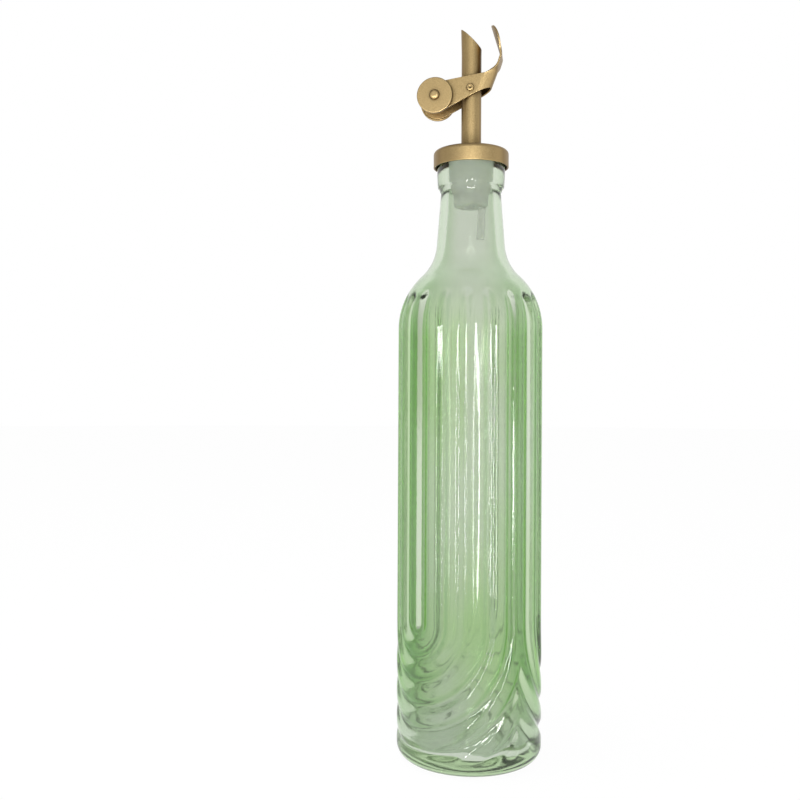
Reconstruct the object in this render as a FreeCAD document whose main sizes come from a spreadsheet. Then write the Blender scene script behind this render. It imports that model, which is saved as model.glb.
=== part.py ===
import FreeCAD, Part
import math
import os
import re
import Sketcher

# Glass oil bottle with a push-in pourer whose weighted lid swings on the spout.
# Millimetres and degrees. The origin is the centre of the base, +Z is up and +X is the way the oil pours.

os.makedirs("parts", exist_ok=True)
doc = FreeCAD.newDocument("OilBottle")
Vector = FreeCAD.Vector
up = Vector(0, 0, 1)
across = Vector(0, 1, 0)
near = 1e-4

driving_sizes = {
    # glass body, measured over the ridges
    "body_radius": 32.6,
    "wall": 3.8,
    "heel_radius": 6.4,
    "base_ring_width": 3.0,
    "push_up": 2.6,
    "floor_height": 6.4,
    "inner_heel_radius": 6.5,
    # flutes and swags
    "flute_count": 20,
    "flute_depth": 1.45,
    "flute_top": 204.4,
    "arch_rise": 6.0,
    "swag_height": 64.0,
    "swag_direction": 47.5,
    "heel_fade": 4.0,
    # shoulder, neck and lip
    "shoulder_height": 192.5,
    "shoulder_radius": 33.0,
    "shoulder_turn": 47.0,
    "neck_blend_radius": 21.2,
    "neck_taper": 4.5,
    "ring_radius": 15.35,
    "ring_bottom": 256.5,
    "ring_underside": 2.4,
    "ring_round": 0.7,
    "lip_height": 268.6,
    "lip_round": 1.4,
    "mouth_radius": 10.2,
    "mouth_round": 0.9,
    # plug and vent tube
    "plug_radius": 10.12,
    "plug_seat_bottom": 258.0,
    "plug_tail_radius": 7.6,
    "plug_tail_top": 252.4,
    "plug_bottom": 247.6,
    "plug_bottom_round": 1.3,
    "flange_radius": 15.0,
    "flange_bottom": 268.9,
    "flange_top": 272.3,
    "inlet_radius": 3.2,
    "inlet_offset": 1.5,
    "vent_radius": 1.9,
    "vent_bore": 1.3,
    "vent_foot_x": 4.3,
    "vent_foot_y": 1.2,
    "vent_foot_height": 233.4,
    "vent_length": 18.4,
    "vent_tilt": 2.5,
    "air_radius": 0.9,
    "air_length": 18.0,
    "air_tilt": 19.0,
    "cut_margin": 1.0,
    # cap and spout
    "cap_radius": 17.0,
    "cap_bottom": 265.8,
    "cap_top": 273.4,
    "cap_sheet": 0.8,
    "cap_round": 1.8,
    "spout_radius": 4.5,
    "spout_wall": 0.75,
    "spout_bottom": 255.6,
    "spout_flare": 0.35,
    "flare_bottom": 317.5,
    "spout_top": 331.5,
    "spout_fit": 0.03,
    "spout_end_gap": 0.3,
    # 45 degree tip, as the height where its plane meets the axis, above the pivot
    "tip_rise": 23.1,
    # lid lever, measured from the pivot
    "pivot_height": 301.0,
    "lever_sheet": 0.8,
    "arm_gap": 4.8,
    "arm_end_radius": 6.0,
    "arm_back": 25.0,
    "lever_span": 48.0,
    "arm_top_x": 7.6,
    "arm_top_z": 6.7,
    "arm_top_round": 3.6,
    "arm_top_back": 16.9,
    "bridge_front": 8.84,
    "bridge_lean": 0.384,
    "bridge_foot_x": 9.3,
    "bridge_foot_z": 1.1,
    "arm_foot_x": 12.2,
    "arm_foot_z": 9.6,
    "tongue_depth": 2.6,
    "leaf_distance": 16.65,
    "leaf_lean": 17.0,
    "leaf_radius": 6.65,
    "leaf_centre": 18.2,
    "leaf_bend": 9.6,
    "tongue_width": 9.3,
    # counterweights and rivets
    "weight_back": 16.0,
    "weight_drop": 3.1,
    "weight_radius": 8.05,
    "weight_thickness": 1.6,
    "weight_round": 0.35,
    "weight_rivet_radius": 1.18,
    "weight_head_radius": 2.3,
    "weight_head_height": 1.5,
    "weight_head_round": 1.2,
    "weight_tail_radius": 1.9,
    "weight_tail_height": 0.6,
    "pivot_radius": 1.0,
    "pivot_head_radius": 1.6,
    "pivot_head_height": 0.8,
    "pivot_head_round": 0.35,
    "pivot_dimple": 0.7,
    "pivot_inner_end": 3.3,
    "rivet_fit": 0.02,
    "swing_fit": 0.05,
}

sheet = doc.addObject("Spreadsheet::Sheet", "Dims")
for row, (alias, value) in enumerate(driving_sizes.items(), start=1):
    sheet.set(f"A{row}", alias)
    sheet.set(f"B{row}", str(value))
    sheet.setAlias(f"B{row}", alias)
doc.recompute()


def size(alias):
    return float(sheet.get(alias))


def in_sheet(word):
    return "Dims." + word if word in driving_sizes else word


def named(text):
    # Turns plain alias words in a formula into references to the sheet.
    return re.sub(r"[a-z_]+", lambda word: in_sheet(word.group()), text)


def bind(feature, **formulas):
    for path, text in formulas.items():
        feature.setExpression(path.replace("__", "."), named(text))


# Sketch helpers: every dimension and every corner of an outline is held to the sheet.
def worth(sketch, text):
    return float(sketch.evalExpression(named(text)))


def hold(sketch, text, kind, *place):
    number = sketch.addConstraint(Sketcher.Constraint(kind, *place, worth(sketch, text)))
    sketch.setExpression(f"Constraints[{number}]", named(text))


def hold_corner(sketch, line, texts):
    # Holds a line's first point by its distances from the sketch's two axes.
    for kind, axis, text in zip(("DistanceX", "DistanceY"), (-2, -1), texts):
        value = worth(sketch, text)
        if abs(value) < near:
            sketch.addConstraint(Sketcher.Constraint("PointOnObject", line, 1, axis))
        elif value > 0:
            hold(sketch, text, kind, -1, 1, line, 1)
        else:
            hold(sketch, f"-({text})", kind, line, 1, -1, 1)


def draw_outline(sketch, corners):
    points = [Vector(worth(sketch, wide), worth(sketch, high), 0) for wide, high in corners]
    count = len(points)
    for index in range(count):
        sketch.addGeometry(Part.LineSegment(points[index], points[(index + 1) % count]), False)
    for index in range(count):
        sketch.addConstraint(Sketcher.Constraint("Coincident", index, 2, (index + 1) % count, 1))
        hold_corner(sketch, index, corners[index])


def body_sketch(body, role, name):
    plane = next(item for item in body.Origin.OriginFeatures if item.Role == role)
    sketch = body.newObject("Sketcher::SketchObject", name)
    sketch.AttachmentSupport = [(plane, "")]
    sketch.MapMode = "FlatFace"
    return sketch


def turned_body(label, corners, role="XZ_Plane"):
    # A solid of revolution about the vertical axis of its sketch.
    body = doc.addObject("PartDesign::Body", label)
    sketch = body_sketch(body, role, label + "_profile")
    draw_outline(sketch, corners)
    turned = body.newObject("PartDesign::Revolution", label + "_turned")
    turned.Profile = sketch
    turned.ReferenceAxis = (sketch, ["V_Axis"])
    turned.Angle = 360
    sketch.Visibility = False
    doc.recompute()
    return body


def is_ring(edge, radius, along, axis):
    # True for a circular edge of that radius, at that place along the axis.
    curve = edge.Curve
    if not isinstance(curve, Part.Circle):
        return False
    place = curve.Center.dot(axis)
    return abs(curve.Radius - radius) < near and abs(place - along) < near


def round_rings(body, formula, rings, axis=up):
    # Rounds the circular edges listed as (radius, place along the axis).
    base = body.Tip
    edges = base.Shape.Edges
    names = [
        f"Edge{number}"
        for number, edge in enumerate(edges, start=1)
        if any(is_ring(edge, radius, along, axis) for radius, along in rings)
    ]
    rounded = body.newObject("PartDesign::Fillet", f"{body.Name}_round{len(body.Group)}")
    rounded.Base = (base, names)
    bind(rounded, Radius=formula)
    doc.recompute()


def cylinder(name, radius, height, position, tilt=None):
    # A round bar; position gives formulas for its foot, and tilt an axis and a formula for its angle.
    bar = doc.addObject("Part::Cylinder", name)
    bind(bar, Radius=radius, Height=height)
    if tilt:
        axis, angle = tilt
        bar.Placement = FreeCAD.Placement(Vector(), FreeCAD.Rotation(axis, 1))
        bind(bar, Placement__Rotation__Angle=angle)
    bind(bar, **{f"Placement__Base__{letter}": text for letter, text in zip("xyz", position)})
    return bar


def cut(name, base, tool):
    result = doc.addObject("Part::Cut", name)
    result.Base = base
    result.Tool = tool
    return result


def fuse(name, shapes):
    result = doc.addObject("Part::MultiFuse", name)
    result.Shapes = shapes
    return result


def flat_sketch(name, corners):
    # A sketch in the plane of the lever's side, with its origin on the pivot.
    sketch = doc.addObject("Sketcher::SketchObject", name)
    sketch.Placement = FreeCAD.Placement(Vector(), FreeCAD.Rotation(Vector(1, 0, 0), 90))
    bind(sketch, Placement__Base__z="pivot_height")
    draw_outline(sketch, corners)
    return sketch


def extrusion(name, sketch, direction, length):
    # Swept both ways from the sketch.
    result = doc.addObject("Part::Extrusion", name)
    result.Base = sketch
    result.DirMode = "Custom"
    result.Dir = direction
    result.Solid = True
    result.Symmetric = True
    bind(result, LengthFwd=length)
    return result


# The glass: its outside is one formula, smooth ridges pressed into flutes that turn into two swags.
def crest_radius(height):
    above = max(0.0, height - size("shoulder_height"))
    bulge = size("shoulder_radius")
    return size("body_radius") - bulge + math.sqrt(bulge ** 2 - above ** 2)


def groove_depth(turn, height):
    # turn is the angle from a swag's centre line, in radians.
    pitch = 2 * math.pi * size("body_radius") / size("flute_count")
    round_body = size("body_radius") * turn
    below = max(0.0, size("swag_height") - height)
    line = math.hypot(round_body, below) / pitch
    off_groove = abs(line % 1.0 - 0.5) * pitch
    past_top = max(0.0, height - size("flute_top")) * pitch / 2 / size("arch_rise")
    from_groove = min(math.hypot(off_groove, past_top), pitch / 2)
    fade = min(1.0, max(0.0, (height - size("heel_radius")) / size("heel_fade")))
    smooth_fade = fade * fade * (3 - 2 * fade)
    wave = (1 + math.cos(2 * math.pi * from_groove / pitch)) / 2
    return size("flute_depth") * wave * smooth_fade


def spaced(start, end, count):
    return [start + (end - start) * step / count for step in range(count)]


def arc_edge(centre, radius, start, end):
    points = []
    for angle in (start, (start + end) / 2, end):
        turn = math.radians(angle)
        points.append(centre + Vector(radius * math.cos(turn), 0, radius * math.sin(turn)))
    return Part.Arc(*points).toShape()


def line_edge(start, end):
    return Part.LineSegment(start, end).toShape()


def wire_of(pieces):
    # Joins arcs with straight runs between them; a plain point is a corner.
    edges = []
    last = None
    for piece in pieces:
        first = piece if isinstance(piece, Vector) else piece.valueAt(piece.FirstParameter)
        if last is not None and (first - last).Length > near:
            edges.append(line_edge(last, first))
        if isinstance(piece, Vector):
            last = piece
        else:
            edges.append(piece)
            last = piece.valueAt(piece.LastParameter)
    return Part.Wire(edges)


def curve_through(points, parameters):
    curve = Part.BSplineCurve()
    curve.interpolate(Points=points, Parameters=parameters)
    return curve


def relief_face():
    # A quarter of the fluted outside, from a swag's centre line to the point between two swags.
    fade_top = size("heel_radius") + size("heel_fade")
    arch_top = size("flute_top") + size("arch_rise")
    straight_start = 1.25 * size("swag_height")
    rows_per_stretch = [
        (size("heel_radius"), 5),
        (fade_top, 52),
        (size("swag_height"), 10),
        (straight_start, 16),
        (size("shoulder_height"), 8),
        (size("flute_top"), 10),
    ]
    columns_per_quarter = 60
    ends = [start for start, count in rows_per_stretch[1:]] + [arch_top]
    heights = []
    for (start, count), end in zip(rows_per_stretch, ends):
        heights += spaced(start, end, count)
    heights.append(arch_top)
    turns = spaced(0, math.pi / 2, columns_per_quarter) + [math.pi / 2]
    rows = []
    for height in heights:
        row = []
        for turn in turns:
            radius = crest_radius(height) - groove_depth(turn, height)
            row.append(Vector(radius * math.cos(turn), radius * math.sin(turn), height))
        rows.append(row)
    around = [curve_through(row, turns) for row in rows]
    columns = zip(*(curve.getPoles() for curve in around))
    along = [curve_through(list(column), heights) for column in columns]
    poles = list(zip(*(curve.getPoles() for curve in along)))
    surface = Part.BSplineSurface()
    surface.buildFromPolesMultsKnots(
        poles, along[0].getMultiplicities(), around[0].getMultiplicities(),
        along[0].getKnots(), around[0].getKnots(), False, False, along[0].Degree, around[0].Degree)
    return surface.toShape()


def glass_upper_wire():
    # From the top of the flutes over the shoulder, neck and lip, then down the inside to the floor.
    wall = size("wall")
    shoulder = Vector(size("body_radius") - size("shoulder_radius"), 0, size("shoulder_height"))
    turn = math.radians(size("shoulder_turn"))
    reach = size("shoulder_radius") + size("neck_blend_radius")
    blend = shoulder + Vector(reach * math.cos(turn), 0, reach * math.sin(turn))
    arch_top = size("flute_top") + size("arch_rise")
    start = math.degrees(math.asin((arch_top - shoulder.z) / size("shoulder_radius")))
    blend_start = 180 + size("shoulder_turn")
    blend_end = 180 + size("neck_taper")
    outer_blend = arc_edge(blend, size("neck_blend_radius"), blend_start, blend_end)
    inner_blend = arc_edge(blend, size("neck_blend_radius") + wall, blend_end, blend_start)
    slope = math.tan(math.radians(size("neck_taper")))
    neck_foot = outer_blend.valueAt(outer_blend.LastParameter)
    inner_foot = inner_blend.valueAt(inner_blend.FirstParameter)
    neck_top = size("ring_bottom") - size("ring_underside")
    neck_top_radius = neck_foot.x - slope * (neck_top - neck_foot.z)
    mouth_foot = inner_foot.z + (inner_foot.x - size("mouth_radius")) / slope
    ring_round = size("ring_round")
    lip_round = size("lip_round")
    mouth_round = size("mouth_round")
    lip = size("lip_height")
    inner_radius = size("body_radius") - wall
    inner_heel = size("inner_heel_radius")
    ring_corner = Vector(size("ring_radius") - ring_round, 0, size("ring_bottom"))
    neck_end = Vector(neck_top_radius, 0, neck_top)
    inward = neck_end - ring_corner
    underside_turn = math.degrees(math.atan2(inward.z, inward.x) + math.acos(ring_round / inward.Length))
    lip_corner = Vector(size("ring_radius") - lip_round, 0, lip - lip_round)
    mouth_corner = Vector(size("mouth_radius") + mouth_round, 0, lip - mouth_round)
    heel_corner = Vector(inner_radius - inner_heel, 0, size("floor_height") + inner_heel)
    return wire_of([
        arc_edge(shoulder, size("shoulder_radius"), start, size("shoulder_turn")),
        outer_blend,
        neck_end,
        arc_edge(ring_corner, ring_round, underside_turn, 0),
        arc_edge(lip_corner, lip_round, 0, 90),
        arc_edge(mouth_corner, mouth_round, 90, 180),
        Vector(size("mouth_radius"), 0, mouth_foot),
        inner_blend,
        arc_edge(shoulder, size("shoulder_radius") - wall, size("shoulder_turn"), 0),
        arc_edge(heel_corner, inner_heel, 0, -90),
        Vector(0, 0, size("floor_height")),
    ])


def glass_lower_wire():
    # The heel, the flat ring that the bottle stands on, and the push-up inside it.
    heel = size("heel_radius")
    ring_outer = size("body_radius") - heel
    ring_inner = ring_outer - size("base_ring_width")
    rise = size("push_up")
    dome_radius = (ring_inner ** 2 + rise ** 2) / (2 * rise)
    dome_start = math.degrees(math.acos(ring_inner / dome_radius))
    return wire_of([
        arc_edge(Vector(ring_outer, 0, heel), heel, 0, -90),
        arc_edge(Vector(0, 0, rise - dome_radius), dome_radius, dome_start, 90),
    ])


def make_glass():
    quarter = [relief_face()]
    for wire in (glass_upper_wire(), glass_lower_wire()):
        quarter += wire.revolve(Vector(), up, 90).Faces
    quarter = Part.Compound(quarter)
    half = Part.Compound([quarter, quarter.mirror(Vector(), across)])
    other_half = half.copy()
    other_half.rotate(Vector(), up, 180)
    skin = Part.Compound(half.Faces + other_half.Faces)
    seam_tolerance = 0.005
    skin.sewShape(seam_tolerance)
    solid = Part.Solid(skin.Shells[0])
    if solid.Volume < 0:
        solid.reverse()
    glass = doc.addObject("Part::Feature", "glass_bottle")
    glass.Shape = solid
    glass.Placement = FreeCAD.Placement(Vector(), FreeCAD.Rotation(up, size("swag_direction")))
    return glass


def make_stopper():
    # A tapered plug with a flange under the cap, a socket for the spout, an oil inlet and an air way.
    blank = turned_body("stopper_blank", [
        ("0", "plug_bottom"),
        ("plug_tail_radius", "plug_bottom"),
        ("plug_tail_radius", "plug_tail_top"),
        ("plug_radius", "plug_seat_bottom"),
        ("plug_radius", "flange_bottom"),
        ("flange_radius", "flange_bottom"),
        ("flange_radius", "flange_top"),
        ("0", "flange_top"),
    ])
    round_rings(blank, "plug_bottom_round", [(size("plug_tail_radius"), size("plug_bottom"))])
    foot = ("vent_foot_x", "vent_foot_y", "vent_foot_height")
    vent_top_x = "vent_foot_x + vent_length * tan(vent_tilt * 1deg)"
    vent_top_height = "vent_foot_height + vent_length - cut_margin"
    passages = fuse("stopper_passages", [
        cylinder("spout_socket", "spout_radius + spout_fit", "flange_top",
                 ("0", "0", "spout_bottom - spout_end_gap")),
        cylinder("oil_inlet", "inlet_radius", "spout_bottom - plug_bottom + cut_margin",
                 ("-inlet_offset", "0", "plug_bottom - cut_margin")),
        cylinder("vent_socket", "vent_radius + rivet_fit", "vent_length", foot, (across, "vent_tilt")),
        cylinder("air_way", "air_radius", "air_length",
                 (vent_top_x, "vent_foot_y", vent_top_height), (across, "air_tilt")),
    ])
    return cut("stopper", blank, passages)


def make_vent_tube():
    lean = (across, "vent_tilt")
    foot = ("vent_foot_x", "vent_foot_y", "vent_foot_height")
    outside = cylinder("vent_outside", "vent_radius", "vent_length", foot, lean)
    inside = cylinder("vent_inside", "vent_bore", "vent_length", foot, lean)
    return cut("vent_tube", outside, inside)


def make_cap():
    # A drawn cup turned upside down, with a hole for the spout.
    cap = turned_body("pourer_cap", [
        ("spout_radius + rivet_fit", "cap_top - cap_sheet"),
        ("cap_radius - cap_sheet", "cap_top - cap_sheet"),
        ("cap_radius - cap_sheet", "cap_bottom"),
        ("cap_radius", "cap_bottom"),
        ("cap_radius", "cap_top"),
        ("spout_radius + rivet_fit", "cap_top"),
    ])
    inner_radius = size("cap_radius") - size("cap_sheet")
    round_rings(cap, "cap_round - cap_sheet", [(inner_radius, size("cap_top") - size("cap_sheet"))])
    round_rings(cap, "cap_round", [(size("cap_radius"), size("cap_top"))])
    return cap


def make_spout():
    # A straight tube, a little flared towards its 45 degree tip, with holes for the pivot rivets.
    tube = turned_body("spout_blank", [
        ("spout_radius - spout_wall", "spout_bottom"),
        ("spout_radius", "spout_bottom"),
        ("spout_radius", "flare_bottom"),
        ("spout_radius + spout_flare", "spout_top"),
        ("spout_radius + spout_flare - spout_wall", "spout_top"),
        ("spout_radius - spout_wall", "flare_bottom"),
    ])
    tip = flat_sketch("tip_outline", [
        ("-2 * spout_radius", "tip_rise + 2 * spout_radius"),
        ("2 * spout_radius", "tip_rise - 2 * spout_radius"),
        ("2 * spout_radius", "tip_rise + 2 * spout_radius"),
    ])
    offcut = extrusion("tip_offcut", tip, across, "4 * spout_radius")
    hole = cylinder("pivot_hole", "pivot_radius + rivet_fit", "4 * spout_radius",
                    ("0", "2 * spout_radius", "pivot_height"), (Vector(1, 0, 0), "90"))
    return cut("spout_tube", tube, fuse("spout_offcuts", [offcut, hole]))


def make_bend(name, half_width):
    # The plan of the bent strip, a U whose round end faces forward, swept up along its lean.
    plan = doc.addObject("Sketcher::SketchObject", name + "_plan")
    bind(plan, Placement__Base__z="pivot_height")
    bend_centre = "bridge_front - arm_gap - lever_sheet"
    width = worth(plan, half_width)
    centre = worth(plan, bend_centre)
    back = -size("arm_back")
    corners = [(back, width), (centre, width), (centre, -width), (back, -width)]
    rear_left, front_left, front_right, rear_right = [Vector(x, y, 0) for x, y in corners]
    circle = Part.Circle(Vector(centre, 0, 0), up, width)
    plan.addGeometry(Part.LineSegment(rear_left, front_left), False)
    plan.addGeometry(Part.ArcOfCircle(circle, -math.pi / 2, math.pi / 2), False)
    plan.addGeometry(Part.LineSegment(front_right, rear_right), False)
    plan.addGeometry(Part.LineSegment(rear_right, rear_left), False)
    for join in ((0, 2, 1, 2), (1, 1, 2, 1), (2, 2, 3, 1), (3, 2, 0, 1)):
        plan.addConstraint(Sketcher.Constraint("Coincident", *join))
    plan.addConstraint(Sketcher.Constraint("Horizontal", 0))
    plan.addConstraint(Sketcher.Constraint("Horizontal", 2))
    plan.addConstraint(Sketcher.Constraint("Vertical", 3))
    plan.addConstraint(Sketcher.Constraint("Vertical", 1, 1, 1, 2))
    plan.addConstraint(Sketcher.Constraint("PointOnObject", 1, 3, -1))
    hold(plan, half_width, "Radius", 1)
    hold(plan, bend_centre, "DistanceX", -1, 1, 1, 3)
    hold(plan, "arm_back", "DistanceX", 3, 1, -1, 1)
    return extrusion(name, plan, Vector(size("bridge_lean"), 0, 1), "lever_span")


def leaf_plane_x(distance, height):
    # Where the leaning plane of the leaf stands at a height, as a formula.
    return f"({distance} - ({height}) * sin(leaf_lean * 1deg)) / cos(leaf_lean * 1deg)"


def make_leaf():
    # The round lid with its short stem, flat, leaning back over the spout.
    leaf = doc.addObject("PartDesign::Body", "leaf")
    stem = body_sketch(leaf, "YZ_Plane", "stem_outline")
    draw_outline(stem, [
        ("-tongue_width / 2", "leaf_bend"),
        ("tongue_width / 2", "leaf_bend"),
        ("tongue_width / 2", "leaf_centre"),
        ("-tongue_width / 2", "leaf_centre"),
    ])
    disc = body_sketch(leaf, "YZ_Plane", "disc_outline")
    disc.addGeometry(Part.Circle(Vector(0, size("leaf_centre"), 0), up, size("leaf_radius")), False)
    disc.addConstraint(Sketcher.Constraint("PointOnObject", 0, 3, -2))
    hold(disc, "leaf_centre", "DistanceY", -1, 1, 0, 3)
    hold(disc, "leaf_radius", "Radius", 0)
    for sketch in (stem, disc):
        bind(sketch, AttachmentOffset__Base__z="leaf_distance")
        pad = leaf.newObject("PartDesign::Pad", sketch.Name + "_pad")
        pad.Profile = sketch
        bind(pad, Length="lever_sheet")
        doc.recompute()
    leaf.Placement = FreeCAD.Placement(Vector(), FreeCAD.Rotation(Vector(0, -1, 0), 1))
    bind(leaf, Placement__Base__z="pivot_height", Placement__Rotation__Angle="leaf_lean")
    return leaf


def make_lever():
    # One stamped strip: two arms, the bridge round the front of the spout, the tongue and the leaf.
    outer = make_bend("bend_outside", "arm_gap + lever_sheet")
    inner = make_bend("bend_inside", "arm_gap")
    strip = cut("bent_strip", outer, inner)
    middle = "(leaf_distance + lever_sheet / 2)"
    slope = "bridge_lean"
    back = "(bridge_front - tongue_depth)"
    lean_sum = f"({slope} * cos(leaf_lean * 1deg) + sin(leaf_lean * 1deg))"
    tongue_top = f"(({middle} - {back} * cos(leaf_lean * 1deg)) / {lean_sum})"
    foot_slope = "(bridge_foot_z + arm_foot_z) / (bridge_foot_x + arm_foot_x)"
    front = "1.5 * bridge_front"
    side = flat_sketch("lever_side", [
        ("-weight_back", "-weight_drop"),
        ("-arm_foot_x", "-arm_foot_z"),
        (front, f"bridge_foot_z + ({front} - bridge_foot_x) * {foot_slope}"),
        (leaf_plane_x(middle, "bridge_front"), "bridge_front"),
        (f"{back} + {slope} * {tongue_top}", tongue_top),
        ("arm_top_x", "arm_top_z"),
        ("-arm_top_back", "arm_end_radius - weight_drop"),
    ])
    block = extrusion("lever_block", side, across, "lever_span / 2")
    doc.recompute()
    corner = Vector(size("arm_top_x"), 0, size("pivot_height") + size("arm_top_z"))
    number = next(
        index
        for index, edge in enumerate(block.Shape.Edges, start=1)
        if abs(edge.CenterOfMass.x - corner.x) < near and abs(edge.CenterOfMass.z - corner.z) < near
    )
    rounded = doc.addObject("Part::Fillet", "lever_rounded")
    rounded.Base = block
    rounded.Edges = [(number, size("arm_top_round"), size("arm_top_round"))]
    sideways = (Vector(1, 0, 0), "90")
    end = cylinder("arm_ends", "arm_end_radius", "lever_span / 2",
                   ("-weight_back", "lever_span / 4", "pivot_height - weight_drop"), sideways)
    trimmed = doc.addObject("Part::Common", "trimmed_strip")
    trimmed.Base = strip
    trimmed.Tool = fuse("lever_outline", [rounded, end])
    whole = fuse("lever_whole", [trimmed, make_leaf()])
    pivot = cylinder("arm_pivot_hole", "pivot_radius + swing_fit", "lever_span / 2",
                     ("0", "lever_span / 4", "pivot_height"), sideways)
    rivet = cylinder("arm_rivet_hole", "weight_rivet_radius + rivet_fit", "lever_span / 2",
                     ("-weight_back", "lever_span / 4", "pivot_height - weight_drop"), sideways)
    return cut("lid_lever", whole, fuse("arm_holes", [pivot, rivet]))


def set_side(body, side, at_weight):
    # Pieces are drawn on the left, and turned half a round for the right.
    body.Placement = FreeCAD.Placement(Vector(), FreeCAD.Rotation(up, 0 if side == "left" else 180))
    if at_weight:
        bind(body, Placement__Base__x="-weight_back", Placement__Base__z="pivot_height - weight_drop")
    else:
        bind(body, Placement__Base__z="pivot_height")
    return body


def make_weight(side):
    arm = size("arm_gap") + size("lever_sheet")
    disc = turned_body("weight_" + side, [
        ("weight_rivet_radius + rivet_fit", "arm_gap + lever_sheet"),
        ("weight_radius", "arm_gap + lever_sheet"),
        ("weight_radius", "arm_gap + lever_sheet + weight_thickness"),
        ("weight_rivet_radius + rivet_fit", "arm_gap + lever_sheet + weight_thickness"),
    ], "XY_Plane")
    rims = [(size("weight_radius"), place) for place in (arm, arm + size("weight_thickness"))]
    round_rings(disc, "weight_round", rims, across)
    return set_side(disc, side, True)


def make_weight_rivet(side):
    # A domed head outside the weight, and a flat tail inside the arm.
    seat = "arm_gap + lever_sheet + weight_thickness"
    rivet = turned_body("weight_rivet_" + side, [
        ("0", "arm_gap - weight_tail_height"),
        ("weight_tail_radius", "arm_gap - weight_tail_height"),
        ("weight_tail_radius", "arm_gap"),
        ("weight_rivet_radius", "arm_gap"),
        ("weight_rivet_radius", seat),
        ("weight_head_radius", seat),
        ("weight_head_radius", f"{seat} + weight_head_height"),
        ("0", f"{seat} + weight_head_height"),
    ], "XY_Plane")
    top = size("arm_gap") + size("lever_sheet") + size("weight_thickness") + size("weight_head_height")
    round_rings(rivet, "weight_head_round", [(size("weight_head_radius"), top)], across)
    return set_side(rivet, side, True)


def make_pivot_rivet(side):
    # A short pin set in the spout's wall, its dimpled head outside the arm.
    seat = "arm_gap + lever_sheet + 2 * swing_fit"
    rivet = turned_body("pivot_rivet_" + side, [
        ("0", "pivot_inner_end"),
        ("pivot_radius", "pivot_inner_end"),
        ("pivot_radius", seat),
        ("pivot_head_radius", seat),
        ("pivot_head_radius", f"{seat} + pivot_head_height"),
        ("pivot_dimple", f"{seat} + pivot_head_height"),
        ("0", f"{seat} + pivot_head_height - pivot_dimple"),
    ], "XY_Plane")
    top = size("arm_gap") + size("lever_sheet") + 2 * size("swing_fit") + size("pivot_head_height")
    round_rings(rivet, "pivot_head_round", [(size("pivot_head_radius"), top)], across)
    return set_side(rivet, side, False)


pieces = [make_glass(), make_stopper(), make_vent_tube(), make_cap(), make_spout(), make_lever()]
for side in ("left", "right"):
    pieces += [make_weight(side), make_weight_rivet(side), make_pivot_rivet(side)]
doc.recompute()

faulty = [item.Name for item in doc.Objects if "Invalid" in item.State or "Error" in item.State]
if faulty:
    raise RuntimeError("not built: " + ", ".join(faulty))
for piece in pieces:
    shape = piece.Shape
    if shape.isNull() or not shape.isValid() or len(shape.Solids) != 1:
        raise RuntimeError(f"{piece.Label} is not one valid solid")
for piece in pieces:
    piece.Shape.exportStep(f"parts/{piece.Label}.step")
    box = piece.Shape.BoundBox
    print(f"{piece.Label}: {piece.Shape.Volume:.1f} mm3, z {box.ZMin:.2f} to {box.ZMax:.2f}, "
          f"x {box.XMin:.2f} to {box.XMax:.2f}")
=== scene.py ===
from math import asin, atan2, cos, degrees, hypot, pi, radians, sin, sqrt, tan

import bmesh
import bpy
from mathutils import Matrix, Vector, noise


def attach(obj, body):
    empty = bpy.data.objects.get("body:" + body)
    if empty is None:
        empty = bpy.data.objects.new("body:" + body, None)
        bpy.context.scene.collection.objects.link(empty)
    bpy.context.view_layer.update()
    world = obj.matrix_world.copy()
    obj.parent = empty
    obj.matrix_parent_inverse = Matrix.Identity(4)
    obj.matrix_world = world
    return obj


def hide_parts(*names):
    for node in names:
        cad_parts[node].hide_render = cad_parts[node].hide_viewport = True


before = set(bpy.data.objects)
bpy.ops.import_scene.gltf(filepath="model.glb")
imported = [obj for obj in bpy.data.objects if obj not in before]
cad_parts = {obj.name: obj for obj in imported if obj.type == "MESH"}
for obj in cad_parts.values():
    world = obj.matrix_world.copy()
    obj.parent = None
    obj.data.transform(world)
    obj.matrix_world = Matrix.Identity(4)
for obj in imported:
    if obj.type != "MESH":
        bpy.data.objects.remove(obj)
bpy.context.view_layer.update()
mm = 0.001
stageScene = bpy.context.scene
print("frame loaded:", len(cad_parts), "nodes")


# camera, at the place the picture was taken from

photoView = {
    "place": (0.0425, -0.4410, 0.1597),
    "turn": 9.62,         # degrees from +Y towards -X
    "pitch": 0.1,
    "roll": 0.27,
    "lens": 43.785,
}


def makeCamera(view):
    turn = radians(view["turn"])
    pitch = radians(view["pitch"])
    roll = radians(view["roll"])
    ahead = Vector((-sin(turn) * cos(pitch), cos(turn) * cos(pitch), sin(pitch)))
    right = Vector((cos(turn), sin(turn), 0))
    above = right.cross(ahead)
    rolledRight = right * cos(roll) + above * sin(roll)
    rolledUp = above * cos(roll) - right * sin(roll)
    data = bpy.data.cameras.new("PhotoCamera")
    data.lens = view["lens"]
    data.sensor_width = 36
    data.clip_start = 0.01
    data.clip_end = 50
    camera = bpy.data.objects.new("PhotoCamera", data)
    axes = Matrix((rolledRight, rolledUp, -ahead)).transposed().to_4x4()
    camera.matrix_world = Matrix.Translation(view["place"]) @ axes
    stageScene.collection.objects.link(camera)
    stageScene.camera = camera


makeCamera(photoView)


# drawing and finishing helpers: profiles are drawn in the XZ plane, in millimetres

def penStart(bm, x, z):
    return bm.verts.new((x * mm, 0, z * mm))


def penLine(bm, last, x, z, cuts=0):
    start = last.co.copy()
    end = Vector((x * mm, 0, z * mm))
    for step in range(1, cuts + 2):
        last = bmesh.ops.extrude_vert_indiv(bm, verts=[last])["verts"][0]
        last.co = start.lerp(end, step / (cuts + 1))
    return last


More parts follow.
